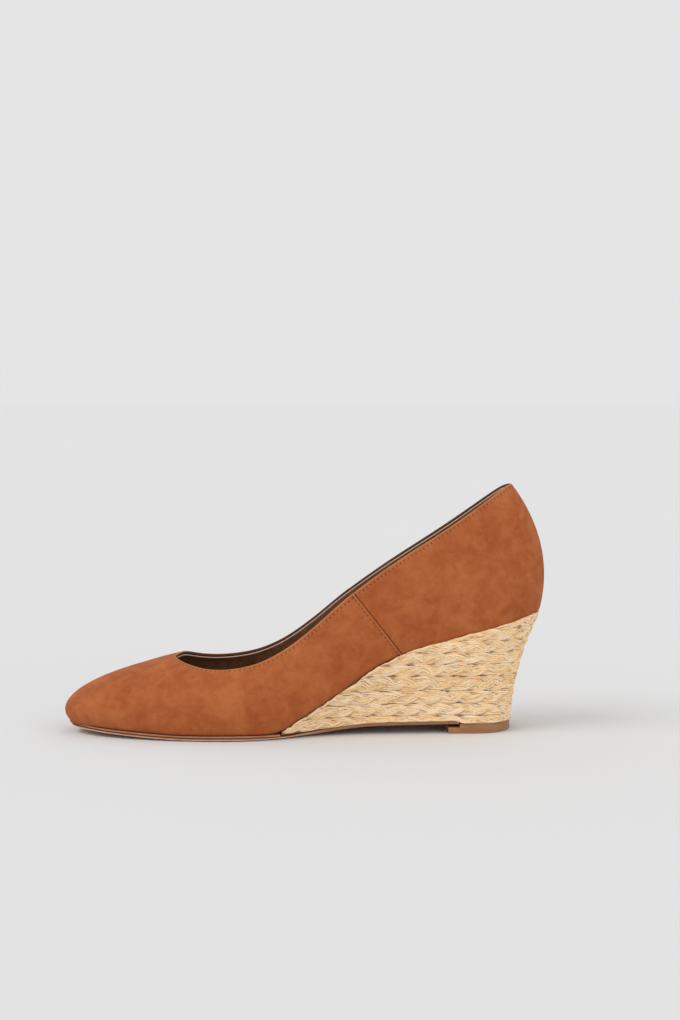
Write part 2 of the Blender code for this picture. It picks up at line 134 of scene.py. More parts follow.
# The wall's curve from feather edge to topline, one cubic a row. Each end leaves its loop by a
# lean (share of the way in plan to the other loop), a bow outwards and a stand upwards (shares
# of the wall's height)
Curve = namedtuple("Curve", "row lean bow stand top_lean top_bow top_stand")
WALL_CURVE = [Curve(*row) for row in (
    ("toe tip", 0.00, 0.37, 0.36, 0.73, -0.02, 0.20),
    ("toe", 0.00, 0.335, 0.36, 0.755, 0.00, 0.19),
    ("toe side", 0.00, 0.278, 0.36, 0.78, 0.015, 0.175),
    ("vamp", 0.00, 0.23, 0.36, 0.78, 0.033, 0.165),
    ("throat", 0.00, 0.19, 0.35, 0.77, 0.05, 0.18),
    ("ball", 0.00, 0.16, 0.34, 0.80, 0.06, 0.24),
    ("tread", 0.05, 0.15, 0.33, 0.70, 0.09, 0.28),
    ("wedge tip", 0.12, 0.125, 0.33, 0.55, 0.10, 0.29),
    ("waist", 0.20, 0.11, 0.33, 0.45, 0.095, 0.31),
    ("arch", 0.28, 0.10, 0.33, 0.38, 0.09, 0.33),
    ("seam", 0.33, 0.08, 0.33, 0.33, 0.08, 0.33),
    ("quarter", 0.33, 0.09, 0.33, 0.33, 0.10, 0.33),
    ("seat", 0.33, 0.11, 0.33, 0.33, 0.12, 0.33),
    ("heel", 0.33, 0.14, 0.33, 0.33, 0.14, 0.33),
    ("counter", 0.33, 0.155, 0.33, 0.33, 0.165, 0.33),
    ("back", 0.33, 0.16, 0.33, 0.33, 0.176, 0.33),
)]

# Heights along the bottom of the last. Columns: along the length, share of the named height
SPRING_CURVE = (
    (0.000, 1.00), (0.054, 0.80), (0.083, 0.64), (0.139, 0.37),
    (0.185, 0.19), (0.223, 0.07), (0.262, 0.00), (1.000, 0.00),
)
HEEL_CURVE = (
    (0.000, 0.000), (0.400, 0.000), (0.430, 0.006), (0.448, 0.026),
    (0.475, 0.094), (0.512, 0.184), (0.550, 0.286), (0.592, 0.402),
    (0.629, 0.511), (0.662, 0.590), (0.708, 0.668), (0.758, 0.730),
    (0.854, 0.839), (0.917, 0.909), (0.993, 1.000), (1.020, 1.030),
)
SHANK_CURVE = (
    (0.000, 0.00), (0.400, 0.00), (0.458, 0.05), (0.487, 0.11),
    (0.520, 0.21), (0.548, 0.37), (0.590, 0.64), (0.621, 0.80),
    (0.692, 0.93), (0.754, 0.97), (0.820, 1.00), (1.000, 1.00),
)

# How far the outsole has grown from its thickness in the forepart to that under the wedge
SOLE_CURVE = ((0.000, 0.00), (0.450, 0.00), (0.540, 1.00), (1.000, 1.00))

ROWS = [edge.row for edge in FEATHER]
LAST_ROW = len(ROWS) - 1
KNOTS = 2 * LAST_ROW
SEAM_ROW = ROWS.index("seam")
WEDGE_ROW = ROWS.index("wedge tip")
SEAT_ROW = ROWS.index("seat")
WIDTHS = np.where(np.arange(len(ROWS)) < SEAM_ROW, BALL_WIDTH, HEEL_WIDTH)
RISES = np.where(np.arange(len(ROWS)) <= SEAM_ROW, VAMP_RISE, COUNTER_RISE)
STACK = FORE_SOLE_THICKNESS + RAND_THICKNESS + 2 * GAP


def stationed(along):
    """A share of the length as a distance from the middle, toe at the negative end."""
    return (np.asarray(along, float) - 0.5) * LENGTH


def profile(curve, height, x):
    """A smooth height curve without overshoot through the rows of a height table."""
    along, shares = np.array(curve).T
    knots = stationed(along)
    values = shares * height
    widths = np.diff(knots)
    slopes = np.diff(values) / widths
    tangents = np.zeros(len(knots))
    tangents[0], tangents[-1] = slopes[0], slopes[-1]
    for i in range(1, len(slopes)):
        if slopes[i - 1] * slopes[i] > 0:
            before = 2 * widths[i] + widths[i - 1]
            after = widths[i] + 2 * widths[i - 1]
            tangents[i] = (before + after) / (before / slopes[i - 1] + after / slopes[i])
    x = np.clip(np.asarray(x, float), knots[0], knots[-1])
    i = np.clip(np.searchsorted(knots, x, side="right") - 1, 0, len(widths) - 1)
    t = (x - knots[i]) / widths[i]
    rise = (3 - 2 * t) * t * t
    start = t * (1 - t) ** 2 * widths[i] * tangents[i]
    end = -t * t * (1 - t) * widths[i] * tangents[i + 1]
    return values[i] * (1 - rise) + values[i + 1] * rise + start + end


def spacing(table, row):
    """Distance along the shoe between a row of a loop and the row in front of it."""
    return stationed(table[row].along) - stationed(table[row - 1].along)


def one_side(position):
    """Row positions round the foot, folded onto the inner side."""
    return np.minimum(position, KNOTS - position)


def arc_lengths(points):
    """Way from the first point of a line of points to each of them."""
    steps = np.linalg.norm(np.diff(points, axis=-2), axis=-1)
    start = np.zeros(steps.shape[:-1] + (1,))
    return np.concatenate([start, np.cumsum(steps, axis=-1)], axis=-1)


def sampled(wanted, arc, values):
    """Rows of values read off where they are wanted along an arc."""
    return np.stack([np.interp(wanted, arc, column) for column in values.T], axis=1)


def ground(x):
    """Underside of the outsole: toe spring in front, flat tread, raised shank behind."""
    return profile(SPRING_CURVE, TOE_SPRING, x) + profile(SHANK_CURVE, SHANK_RISE, x)


def sole_top(x):
    """Upper face of the outsole, which is thinner in the forepart than under the wedge."""
    extra = OUTSOLE_THICKNESS - FORE_SOLE_THICKNESS
    return ground(x) + FORE_SOLE_THICKNESS + profile(SOLE_CURVE, extra, x)


def last_bottom(x):
    """Underside of the lasted upper, from the toe to the back of the heel."""
    spring = profile(SPRING_CURVE, TOE_SPRING, x)
    return STACK + spring + profile(HEEL_CURVE, HEEL_HEIGHT - STACK, x)


def raised(surface, x, distance):
    """A surface moved by a distance square to its own slope, measured as a height."""
    reach = 0.0005
    slope = (surface(x + reach) - surface(x - reach)) / (2 * reach)
    return surface(x) + distance * np.sqrt(1 + slope * slope)


def closed(inner, outer):
    """Values round the whole loop: along the inner side to the back, home along the outer."""
    return np.concatenate([inner, outer[-2:0:-1]])


def column(table, name):
    """One column of a table."""
    return np.array([getattr(row, name) for row in table])


def plan(table):
    """Plan points of a loop at its rows."""
    x = stationed(column(table, "along"))
    y = closed(-column(table, "inner") * WIDTHS, column(table, "outer") * WIDTHS)
    return np.stack([closed(x, x), y], axis=1)


def knot_places():
    """Arc length of each row round the feather edge, with the whole way round at the end."""
    points = plan(FEATHER)
    return arc_lengths(np.concatenate([points, points[:1]]))


PLACES = knot_places()


def smooth_loop(values):
    """A closed cubic spline through one value a row, as a function of the row position."""
    values = np.asarray(values, float)
    widths = np.diff(PLACES)
    count = len(values)
    system = np.zeros((count, count))
    bends = np.zeros(count)
    for i in range(count):
        before, after = widths[i - 1], widths[i]
        system[i, i - 1] += before
        system[i, i] += 2 * (before + after)
        system[i, (i + 1) % count] += after
        ahead = (values[(i + 1) % count] - values[i]) / after
        behind = (values[i] - values[i - 1]) / before
        bends[i] = 6 * (ahead - behind)
    curvature = np.linalg.solve(system, bends)

    def at(position):
        position = np.mod(np.asarray(position, float), count)
        i = np.minimum(position.astype(int), count - 1)
        j = (i + 1) % count
        width = widths[i]
        a = (position - i) * width
        b = width - a
        bent = (curvature[i] * b ** 3 + curvature[j] * a ** 3) / (6 * width)
        start = (values[i] / width - curvature[i] * width / 6) * b
        end = (values[j] / width - curvature[j] * width / 6) * a
        return bent + start + end

    return at


def loop_in_plan(table):
    """Two splines, x and y, of a loop in plan."""
    points = plan(table)
    return smooth_loop(points[:, 0]), smooth_loop(points[:, 1])


FEATHER_LOOP = loop_in_plan(FEATHER)
SOLE_LOOP = loop_in_plan(SOLE)
TOP_LOOP = loop_in_plan(TOPLINE)
ROW_BASE = last_bottom(stationed(column(FEATHER, "along")))
TOP_HEIGHT = smooth_loop(closed(ROW_BASE + RISES * column(TOPLINE, "inner_rise"),
                                ROW_BASE + RISES * column(TOPLINE, "outer_rise")))
WALL_LOOPS = {
    name: smooth_loop(closed(column(WALL_CURVE, name), column(WALL_CURVE, name)))
    for name in Curve._fields[1:]}


def read_plan(loop, position):
    """Plan points of a loop at row positions."""
    return np.stack([loop[0](position), loop[1](position)], axis=-1)


def outward(loop, position):
    """Unit vectors in plan that point out of a loop."""
    reach = 0.01
    run = read_plan(loop, position + reach) - read_plan(loop, position - reach)
    run /= np.linalg.norm(run, axis=-1, keepdims=True)
    return np.stack([run[..., 1], -run[..., 0]], axis=-1)


def solid_points(flat, z):
    """Plan points with their heights."""
    return np.concatenate([flat, np.asarray(z)[..., None]], axis=-1)


def feather_points(position):
    flat = read_plan(FEATHER_LOOP, position)
    return solid_points(flat, last_bottom(flat[..., 0]))


def topline_points(position):
    return solid_points(read_plan(TOP_LOOP, position), TOP_HEIGHT(position))


def wall_points(position, share):
    """Outer face of the upper: columns at row positions, rows at shares of the way up."""
    low = feather_points(position)
    high = topline_points(position)
    out = solid_points(outward(FEATHER_LOOP, position), np.zeros(len(position)))
    height = (high[:, 2] - low[:, 2])[:, None]
    way = (high - low) * np.array([1.0, 1.0, 0.0])
    up = np.array([0.0, 0.0, 1.0])
    shape = {name: loop(position)[:, None] for name, loop in WALL_LOOPS.items()}
    first = low + shape["lean"] * way + (shape["bow"] * out + shape["stand"] * up) * height
    second = high - shape["top_lean"] * way
    second += (shape["top_bow"] * out - shape["top_stand"] * up) * height
    t = np.asarray(share)[None, :, None]
    ends = (1 - t) ** 3 * low[:, None] + t ** 3 * high[:, None]
    return ends + 3 * t * (1 - t) ** 2 * first[:, None] + 3 * t * t * (1 - t) * second[:, None]


def middle_of_shoe():
    """Plan centre of the box round the upper, which every piece is placed from."""
    points = wall_points(np.linspace(0, KNOTS, 20 * KNOTS), np.linspace(0, 1, 21))
    flat = points[..., :2].reshape(-1, 2)
    return solid_points((flat.min(axis=0) + flat.max(axis=0)) / 2, 0.0)


MIDDLE = middle_of_shoe()

# Looks of the upper
CORNER = 0.0010
EDGE_RADIUS = UPPER_WALL / 2
CREST = 0.0001
TOE_TUCK = 0.0017
TOE_TUCK_ROWS = 0.9
TOE_DROP = 1.6
MARGIN_UNDER = (LASTING_MARGIN, 0.0045, 0.003)
MARGIN_OVER = (0.0026, 0.0045, LASTING_MARGIN)
FAR_DROP = 0.05
LAP_EDGE = 0.0004
LAP_FADE = 0.010
GROOVE_DEPTH = 0.0005
GROOVE_WIDTH = 0.0006
TROUGH_DEPTH = 0.00016
TROUGH_WIDTH = 0.0005
STITCH_DROP = 0.0021
STITCH_PITCH = 0.0023
STITCH_LENGTH = 0.0015
STITCH_SINK = 0.00014
THREAD = 0.00018
THREAD_SINK = 0.00008
SEAM_THREAD_SINK = 0.0001
SEAM_STITCH_BACK = 0.0014
SEAM_STITCH_ENDS = (0.0024, 0.0032)
LINING_DROP = 0.0008
LINING_WALL = 0.0007
LINING_GAP = 0.00005
LINING_FOOT = (0.0030, 0.0045)
SOCK_CUP = 0.0016
SOCK_GAP = 0.0001

# Edges of the sole's pieces
RAND_RADIUS = 0.00035
SOLE_RADIUS = 0.0003
TOP_PIECE_RADIUS = 0.0005
ROLL_IN = 0.0035
ROLL_UP = 0.0006
BREAST_STEP = 0.012


def unit(vectors):
    """Vectors scaled to length one."""
    return vectors / np.maximum(np.linalg.norm(vectors, axis=-1, keepdims=True), 1e-12)


def smooth_step(values):
    """0 below 0, 1 above 1, an even S between."""
    t = np.clip(values, 0, 1)
    return t * t * (3 - 2 * t)


def placed(name, data):
    """An object in the scene, made of the data."""
    thing = bpy.data.objects.new(name, data)
    bpy.context.scene.collection.objects.link(thing)
    return thing


def new_piece(name, points, faces, material, replaced=(), attributes=None, angle=None):
    """A mesh object that rides on the shoe, from points in the last's own frame."""
    mesh = bpy.data.meshes.new(name)
    mesh.from_pydata((points - MIDDLE).reshape(-1, 3).tolist(), [], faces)
    for key, values in (attributes or {}).items():
        layer = mesh.attributes.new(key, "FLOAT", "POINT")
        layer.data.foreach_set("value", np.asarray(values, np.float32).ravel())
    body = bmesh.new()
    body.from_mesh(mesh)
    bmesh.ops.remove_doubles(body, verts=body.verts, dist=1e-7)
    bmesh.ops.recalc_face_normals(body, faces=body.faces)
    body.to_mesh(mesh)
    body.free()
    mesh.materials.append(material)
    mesh.shade_smooth()
    if angle is not None:
        mesh.set_sharp_from_angle(angle=np.radians(angle))
    piece = placed(name, mesh)
    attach(piece, "root")
    if replaced:
        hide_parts(*replaced)
    return piece


def ring_faces(count, around, closed=False, ends=(True, True)):
    """Faces of a row of rings whose point (i, j) has the number i * around + j.

    The last ring is joined to the first, or else the ends that are wanted are closed.
    """
    i = np.arange(count if closed else count - 1)
    i, j = np.meshgrid(i, np.arange(around), indexing="ij")
    near = i * around
    far = (i + 1) % count * around
    up = (j + 1) % around
    corners = [near + j, far + j, far + up, near + up]
    faces = np.stack(corners, axis=-1).reshape(-1, 4).tolist()
    for ring, wanted in zip((0, count - 1), ends):
        if wanted and not closed:
            faces.append(list(range(ring * around, (ring + 1) * around)))
    return faces


# The upper: wall, folded topline, turned margin

def upper_columns():
    """Row positions round the foot, close together at the two side seams."""
    near_seam = np.array([-6, -4, -2.5, -1.6, -1.0, -0.6, -0.4, -0.28, -0.18, -0.1, -0.03])
    near_seam = np.concatenate([near_seam, [0.02, 0.15, 0.4, 0.8, 1.5, 3.0]]) * 0.001
    inner = np.linspace(0, LAST_ROW, 16 * LAST_ROW + 1)
    seam = SEAM_ROW + near_seam / spacing(FEATHER, SEAM_ROW)
    inner = inner[(inner < seam[0] - 0.03) | (inner > seam[-1] + 0.03)]
    inner = np.sort(np.concatenate([inner, seam]))
    return np.concatenate([inner, (KNOTS - inner[1:-1])[::-1]])


def wall_grid(position, distances):
    """Points of the outer face, its normals and each column's height along the wall.

    The distances run up from the feather edge where positive, down from the topline where
    negative, and between them the rows are spread evenly.
    """
    fine = np.linspace(0, 1, 161)
    fine_points = wall_points(position, fine)
    arc = arc_lengths(fine_points)
    whole = arc[:, -1]
    up, between, down = distances
    start, end = up[-1], whole + down[0]
    middle = start + (end - start)[:, None] * np.linspace(0, 1, between + 2)[None, 1:-1]
    along = np.concatenate([np.tile(up, (len(whole), 1)), middle, whole[:, None] + down], axis=1)
    points = np.array([sampled(*column) for column in zip(along, arc, fine_points)])
    return points, along, whole


def grid_normals(points):
    """Outward normals of a grid that is closed round the foot."""
    round_foot = np.roll(points, -1, axis=0) - np.roll(points, 1, axis=0)
    up_wall = np.gradient(points, axis=1)
    return unit(np.cross(round_foot, up_wall))


def seam_distance(position):
    """Distance behind the side seam, on either side of the foot."""
    return (one_side(position) - SEAM_ROW) * spacing(FEATHER, SEAM_ROW)


def lap_lift(position):
    """The vamp laps over the quarter: a rounded edge at the seam that fades forwards."""
    behind = seam_distance(position)
    fade = smooth_step(1 + behind / LAP_FADE)
    inside = np.clip(-behind / LAP_EDGE, 0, 1)
    edge = np.sqrt(1 - (1 - inside) ** 2)
    groove = GROOVE_DEPTH * np.exp(-(behind / GROOVE_WIDTH) ** 2) * (behind >= 0)
    return SEAM_STEP * fade * edge - groove


def toe_tuck(position):
    """How far the bottom edge is drawn in round the toe tip."""
    return TOE_TUCK * np.exp(-(one_side(position) / TOE_TUCK_ROWS) ** 2)


def loop_length(position):
    """Arc length along the topline at row positions."""
    fine = np.linspace(0, KNOTS, 4001)
    return np.interp(position, fine, arc_lengths(topline_points(fine)))


def topline_roll():
    """Distances below the topline at which the folded edge is sampled."""
    turn = np.radians(np.arange(90, -1, -18))
    return -EDGE_RADIUS * (1 - np.cos(turn))


def build_upper(material):
    position = upper_columns()
    below = np.array([-0.0046, -0.0038, -0.0032, -0.0028, -0.0024, -0.0021, -0.0018, -0.0014])
    below = np.concatenate([below, [-0.0010], topline_roll()])
    rise = np.array([CORNER, 0.0022, 0.003])
    wall, along, whole = wall_grid(position, (rise, 34, below))
    normal = grid_normals(wall)
    drop = whole[:, None] - along
    bow = np.sqrt(np.clip(EDGE_RADIUS ** 2 - np.clip(EDGE_RADIUS - drop, 0, None) ** 2, 0, None))
    lift = lap_lift(position)[:, None]
    trough = TROUGH_DEPTH * np.exp(-((drop - STITCH_DROP) / TROUGH_WIDTH) ** 2)
    outer = wall + (lift + bow - EDGE_RADIUS - trough)[..., None] * normal
    inner = wall - (EDGE_RADIUS + bow)[..., None] * normal
    out = solid_points(outward(FEATHER_LOOP, position), np.zeros(len(position)))

    def margin(inset, height):
        flat = read_plan(FEATHER_LOOP, position) - np.reshape(inset, (-1, 1)) * out[:, :2]
        return solid_points(flat, raised(last_bottom, flat[:, 0], height))

    tuck = toe_tuck(position)
    corner = feather_points(position) - tuck[:, None] * np.array([0.0, 0.0, TOE_DROP])
    under = margin(CORNER + tuck / 2, 0.0)
    curve = []
    for t in np.linspace(0, 1, 7)[1:-1]:
        bend = (1 - t) ** 2 * under + 2 * t * (1 - t) * corner + t * t * wall[:, 0]
        curve.append(bend + t * lift * out)
    below_foot = [margin(inset, 0.0) for inset in MARGIN_UNDER] + [under]
    over_margin = [margin(inset, UPPER_WALL) for inset in MARGIN_OVER]
    parts = [np.stack(below_foot + curve, axis=1), outer, inner[:, -2::-1]]
    ring = np.concatenate(parts + [np.stack(over_margin, axis=1)], axis=1)
    columns, rows = ring.shape[:2]
    lead = len(below_foot) + len(curve)
    top_drop = np.full((columns, rows), FAR_DROP)
    top_drop[:, lead:lead + drop.shape[1]] = drop
    inside = np.zeros((columns, rows))
    inside[:, lead + drop.shape[1]:] = 1.0
    inside[:, lead:lead + drop.shape[1]][drop < CREST] = 1.0
    run = np.repeat(loop_length(position)[:, None], rows, axis=1)
    behind = np.repeat(seam_distance(position)[:, None], rows, axis=1)
    height = np.zeros((columns, rows))
    height[:, lead:lead + drop.shape[1]] = along
    attributes = {"drop": top_drop, "inside": inside, "run": run, "behind": behind, "rise": height}
    return new_piece("nubuck_upper", ring, ring_faces(columns, rows, True), material,
                     ("upper",), attributes)


def build_lining(material):
    """Thin leather lining inside the wall, its cut edge just below the folded topline."""
    position = np.linspace(0, KNOTS, 12 * KNOTS, endpoint=False)
    half = LINING_WALL / 2
    turn = np.radians(np.arange(0, 91, 30))
    below = -(LINING_DROP + half * (1 - np.sin(turn)))
    wall, along, whole = wall_grid(position, (np.array(LINING_FOOT), 24, below))
    normal = grid_normals(wall)
    drop = whole[:, None] - along - LINING_DROP
    bow = np.sqrt(np.clip(half ** 2 - np.clip(half - drop, 0, None) ** 2, 0, None))
    centre = UPPER_WALL + LINING_GAP + half
    outer = wall + (bow - centre)[..., None] * normal
    inner = wall - (bow + centre)[..., None] * normal
    ring = np.concatenate([outer, inner[:, -2::-1]], axis=1)
    edge = np.concatenate([drop, drop[:, -2::-1]], axis=1)
    return new_piece("leather_lining", ring, ring_faces(*edge.shape, True), material,
                     (), {"drop": edge})


def build_sock(material):
    """Leather sock on the insole: a thin sheet across the foot, cupped up at its edges."""
    rows = np.linspace(0.02, LAST_ROW - 0.02, 121)
    across = np.linspace(-1, 1, 33)
    inset = UPPER_WALL + LINING_WALL + SOCK_GAP
    sides = []
    for position in (rows, KNOTS - rows):
        sides.append(read_plan(FEATHER_LOOP, position) - inset * outward(FEATHER_LOOP, position))
    share = (across[None, :, None] + 1) / 2
    flat = sides[0][:, None] * (1 - share) + sides[1][:, None] * share
    cup = SOCK_CUP * np.abs(across[None, :]) ** 6
    sheets = []
    for height in (UPPER_WALL + GAP + INSOLE_THICKNESS, UPPER_WALL + SOCK_GAP):
        sheets.append(solid_points(flat, raised(last_bottom, flat[..., 0], height) + cup))
    top, bottom = sheets
    ring = np.concatenate([top, bottom[:, ::-1]], axis=1)
    return new_piece("leather_sock", ring, ring_faces(*ring.shape[:2]), material,
                     ("insole",), None, 40)


# Sole pieces: plates with rounded edges

def plate(name, loop, grow, columns, bottom, top, radius, material, replaced, roll=False):
    """A plate lofted across the foot, its long edges rounded, the lower ones rolled up if asked."""
    turn = np.radians(np.linspace(0, 90, 5))
    rings = []
    for row in columns:
        ring = []
        for side, position in enumerate((row, KNOTS - row)):
            place = np.array([position])
            edge = read_plan(loop, place)[0]
            out = outward(loop, place)[0]
            edge = edge - toe_tuck(position) * out
            half = []
            if roll:
                flat = edge + (grow - ROLL_IN) * out
                half.append(solid_points(flat, bottom(flat[0])))
            for angle in turn[::-1]:
                flat = edge + (grow - radius * (1 - np.cos(angle))) * out
                low = bottom(flat[0]) + (ROLL_UP if roll else 0.0)
                half.append(solid_points(flat, low + radius * (1 - np.sin(angle))))
            for angle in turn:
                flat = edge + (grow - radius * (1 - np.cos(angle))) * out
                half.append(solid_points(flat, top(flat[0]) - radius * (1 - np.sin(angle))))
            ring += half if side == 0 else half[::-1]
        rings.append(ring)
    points = np.array(rings)
    count, around = points.shape[:2]
    half = np.concatenate([np.zeros(len(turn) + int(roll)), np.ones(len(turn))])
    attributes = {"level": np.tile(np.concatenate([half, half[::-1]]), count),
                  "fore": 1 - profile(SOLE_CURVE, 1.0, points[..., 0])}
    faces = ring_faces(count, around, ends=(columns[0] > 0, columns[-1] < LAST_ROW))
    return new_piece(name, points, faces, material, replaced, attributes, 50)


def rows_before(row, distance):
    """The row position that lies a distance in front of a row of the sole's edge."""
    return row - distance / spacing(SOLE, row)


def toe_columns(end):
    """Row positions from the toe tip to an end, closer together round the toe."""
    return np.concatenate([[0, 0.06, 0.14, 0.24, 0.36], np.linspace(0.5, end, int(10 * end))])


def build_sole(materials):
    plate("sole_rand", FEATHER_LOOP, RAND_PROUD, toe_columns(rows_before(WEDGE_ROW, 2 * GAP)),
          lambda x: sole_top(x) + GAP, lambda x: sole_top(x) + GAP + RAND_THICKNESS,
          RAND_RADIUS, materials["rand"], ("rand",))
    plate("leather_outsole", SOLE_LOOP, 0.0, toe_columns(rows_before(SEAT_ROW, GAP)),
          ground, sole_top, SOLE_RADIUS, materials["sole"],
          ("outsole",), True)
    front = rows_before(SEAT_ROW, TOP_PIECE_LIP_REACH)
    step = SEAT_ROW + BREAST_STEP
    heel = np.concatenate([[step], np.linspace(SEAT_ROW + 0.1, LAST_ROW, 40)])
    breast = float(SOLE_LOOP[0](SEAT_ROW) + SOLE_LOOP[0](step)) / 2
    plate("heel_top_piece", SOLE_LOOP, 0.0, np.concatenate([[front, SEAT_ROW], heel]),
          lambda x: 0.0 * x, lambda x: TOP_PIECE_LIP if x < breast else TOP_PIECE_THICKNESS,
          TOP_PIECE_RADIUS, materials["top piece"], ("top_piece",))


# The wedge: a core coloured dark as painted shade for the gaps, and flat three-strand plaits of
# straw wound round it

PLAIT_LINES = (0.0030, 0.0092, 0.0152, 0.0217, 0.0292, 0.0350, 0.0408, 0.0468, 0.0530, 0.0592)
PLAIT_OVERLAP = 0.0003
STRAND_SHARE = 0.50
STRAND_PERIOD = 0.033
STRAND_BEND = 0.6
STRAND_TOP = np.radians(155)
STRANDS = 3
FIBRES = 9
BED_FIBRES = 4
BED_DEPTH = 0.00014
FIBRE_WIDTH = 0.00034
FIBRE_DEPTH = 0.00013
FIBRE_STEP = 0.0009
FIBRE_LENGTHS = (0.008, 0.020)
FIBRE_WIDTHS = (0.65, 1.35)
FIBRE_DEPTHS = (0.8, 1.3)
OVER_UNDER = 0.00034
STRAND_CROWN = 0.00012
PLAIT_CROWN = 0.00016
STRAW_LIFT = 0.0004
CORE_INSET = 0.0006
CORE_FOOT_GAP = 0.0002
CORE_CROWN_GAP = 0.0001
PLAIT_SEED = 7
STRAY_SEED = 21
PHASE_STEP = np.pi / 3
PHASE_SPREAD = 0.2

# Slow random drifts. Columns: length, size
TURN_WOBBLE = (0.05, 0.3)
MIDDLE_WOBBLE = (0.02, 0.0003)
WIDTH_WOBBLE = (0.03, 0.12)
OFFSET_WOBBLE = (0.024, 0.15)
HEIGHT_WOBBLE = (0.012, 0.00006)

STRAND_TONES = 0.4
FIBRE_TONES = 0.9
FIBRE_DRIFT = 0.05
FIBRE_REACH = 1.06
FIBRE_LIFT = 0.00006
BED_SHARE = 1.6
PLAIT_FOOT_GAP = 0.0003
CROWN_TUCK = 0.0004
CROWN_GAP = 0.0007
CROWN_NOTCH = 0.0012
CROWN_WAVES = (9.7, 23.1)
CROWN_HIDE = 0.0015
EDGE_BEND = 0.0004
STRAYS = 45
STRAY_LENGTHS = (0.004, 0.011)
STRAY_ANGLES = (8, 40)
STRAY_BEND = 0.001
STRAY_HEIGHT = 0.0009
STRAY_HUMP = 0.0003
STRAY_MARGIN = 0.0006


def wedge_foot(position):
    """Height of the wedge's underside: over the outsole, then lower over the top piece."""
    row = one_side(position)
    over_sole = sole_top(SOLE_LOOP[0](position)) + GAP
    low = smooth_step((row - SEAT_ROW + 0.15) / 0.3)
    return over_sole * (1 - low) + (TOP_PIECE_THICKNESS + GAP) * low


def wedge_crown(position):
    """Height at which the wedge's side meets the upper."""
    return raised(last_bottom, FEATHER_LOOP[0](position), -GAP)


def side_points(position, z):
    """Points of the wedge's side at row positions and heights."""
    foot = wedge_foot(position)
    crown = wedge_crown(position)
    share = np.clip((z - foot) / (crown - foot), 0.0, 1.0)
    low = read_plan(SOLE_LOOP, position)
    high = read_plan(FEATHER_LOOP, position) - WEDGE_INSET * outward(FEATHER_LOOP, position)
    swept = np.stack([share ** BACK_SWEEP, share ** SIDE_SWEEP], axis=-1)
    return solid_points(low + (high - low) * swept, z)


def side_normals(position, z):
    """Outward normals of the wedge's side."""
    reach = 0.03
    rise = 0.0004
    run = side_points(position + reach, z) - side_points(position - reach, z)
    up = side_points(position, z + rise) - side_points(position, z - rise)
    return unit(np.cross(run, up))


def soft_limits(z, low, high, soft):
    """Heights kept between two limits, bending smoothly where they come near."""
    z = high - soft * np.logaddexp(0, (high - z) / soft)
    return low + soft * np.logaddexp(0, (z - low) / soft)


def tubes(paths):
    """Points, faces and attributes of many flat fibres, each a tube with four sides."""
    points, faces, tones, runs, shade_depths = [], [], [], [], []
    base = 0
    for path in paths:
        centre, side, up = path["centre"], path["side"], path["up"]
        width = path["width"][:, None]
        depth = path["depth"][:, None]
        ring = np.stack([centre + side * width, centre + up * depth,
                         centre - side * width, centre - up * depth], axis=1)
        count = len(centre)
        points.append(ring.reshape(-1, 3))
        faces += (np.array(ring_faces(count, 4)) + base).tolist()
        tones.append(np.full(4 * count, path["tone"]))
        runs.append(np.repeat(path["run"], 4))
        shade_depths.append(np.repeat(path["low"], 4))
        base += 4 * count
    # low carries each fibre's depth in the plait, for the straw's painted shade
    attributes = {"tone": np.concatenate(tones), "run": np.concatenate(runs),
                  "low": np.concatenate(shade_depths)}
    return np.concatenate(points), faces, attributes


def strand_swing(angle):
    """Side to side course of a strand: it lingers at the edges and crosses the middle fast."""
    swing = np.sin(angle)
    return swing * np.sqrt(1 + STRAND_BEND ** 2) / np.sqrt(swing ** 2 + STRAND_BEND ** 2)


def wobble(rng, s, length, size):
    """A slow random drift along a course."""
    total = np.zeros_like(s)
    for _ in range(3):
        total += np.sin(2 * np.pi * s / (length * rng.uniform(0.7, 1.6)) + rng.uniform(0, 6.28))
    return size * total / 3


def fibre_parts(rng, s, keep):
    """Slices of a course that is shown where kept and broken into short lengths."""
    keep = keep.copy()
    spot = s[0] + rng.uniform(0, FIBRE_LENGTHS[1])
    while spot < s[-1]:
        keep[np.searchsorted(s, spot)] = False
        spot += rng.uniform(*FIBRE_LENGTHS)
    edges = np.flatnonzero(np.diff(np.concatenate([[0], keep.astype(int), [0]])))
    return [slice(a, b) for a, b in zip(edges[::2], edges[1::2]) if b - a >= 4]


def fibre_path(rng, centre, normal, tone, run, low, size=FIBRE_WIDTH):
    """One flat fibre that narrows to both ends."""
    tangent = unit(np.gradient(centre, axis=0))
    order = np.arange(len(centre))
    taper = np.minimum(1, np.minimum(order, order[::-1]) / 2.5 + 0.25)
    return {"centre": centre, "side": unit(np.cross(tangent, normal)), "up": normal,
            "width": size * rng.uniform(*FIBRE_WIDTHS) * taper,
            "depth": FIBRE_DEPTH * rng.uniform(*FIBRE_DEPTHS) * taper,
            "tone": tone, "run": run, "low": low}


def strand_line(s, plait, strand, share):
    """Place along, across and over a plait of a line at a share of a strand's half width."""
    middle, lean, width, level = strand
    norm = np.sqrt(1 + lean ** 2)
    offset = share * width / 2
    across = middle + offset / norm
    height = level + STRAND_CROWN * (1 - share ** 2) - PLAIT_CROWN * (2 * across / plait) ** 2
    return s - offset * lean / norm, across, height


